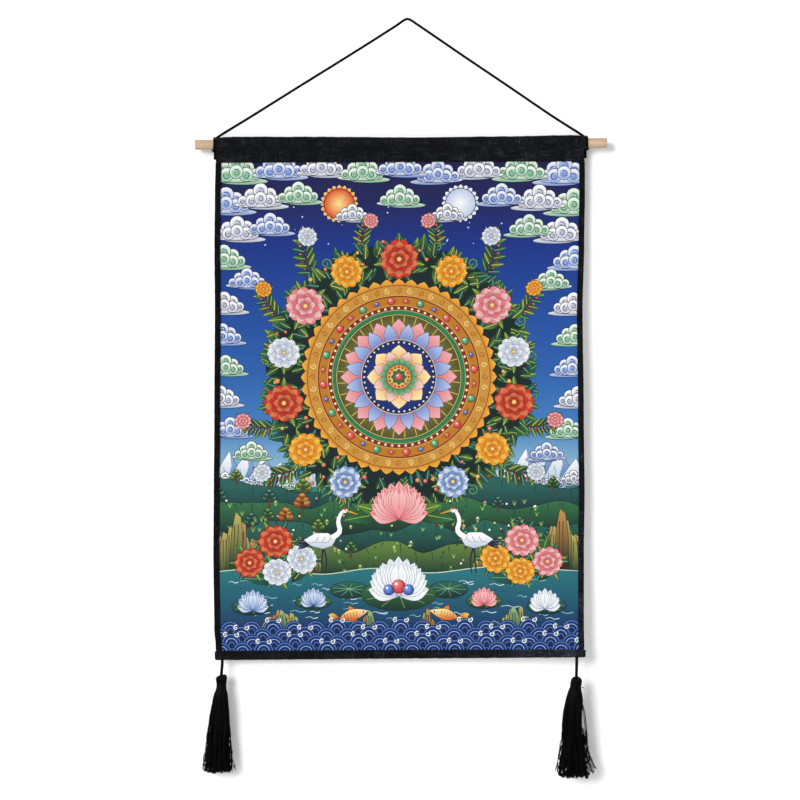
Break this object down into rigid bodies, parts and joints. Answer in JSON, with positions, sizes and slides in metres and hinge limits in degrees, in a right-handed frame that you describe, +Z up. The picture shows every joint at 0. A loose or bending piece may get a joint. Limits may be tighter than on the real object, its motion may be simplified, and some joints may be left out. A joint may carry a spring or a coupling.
{
  "type": "hanging scroll painting on a wooden rod",
  "caption": "Printed canvas wall scroll with black linen heading, bindings and band, on a light wooden rod with a hanger cord and two black tassels.",
  "frame": {"origin": "on the axis of the hanger cord where it bends over the nail", "axes": "+Z up, -Y the way the picture faces, +X to the right of someone who looks at the picture"},
  "size_m": [0.5037, 0.0322, 0.9279],
  "materials": {
    "light_wood": "bare sanded softwood, satin",
    "black_linen": "matt slub weave, near black with grey-blue flecks",
    "printed_canvas": "matt fine canvas, printed in blues, teal, gold and rose",
    "black_cord": "smooth twisted cord, slight sheen",
    "black_yarn": "fine rayon threads, soft sheen"
  },
  "bodies": {
    "root": {"rod": "light_wood", "heading_sleeve": "black_linen", "print_panel": "printed_canvas", "binding_left": "black_linen", "binding_right": "black_linen", "bottom_band": "black_linen", "hanger_cord": "black_cord", "cord_hitch_left": "black_cord", "cord_hitch_right": "black_cord", "tassel_cord_left": "black_cord", "tassel_cord_right": "black_cord", "tassel_left": "black_yarn", "tassel_right": "black_yarn"}
  },
  "joints": []
}
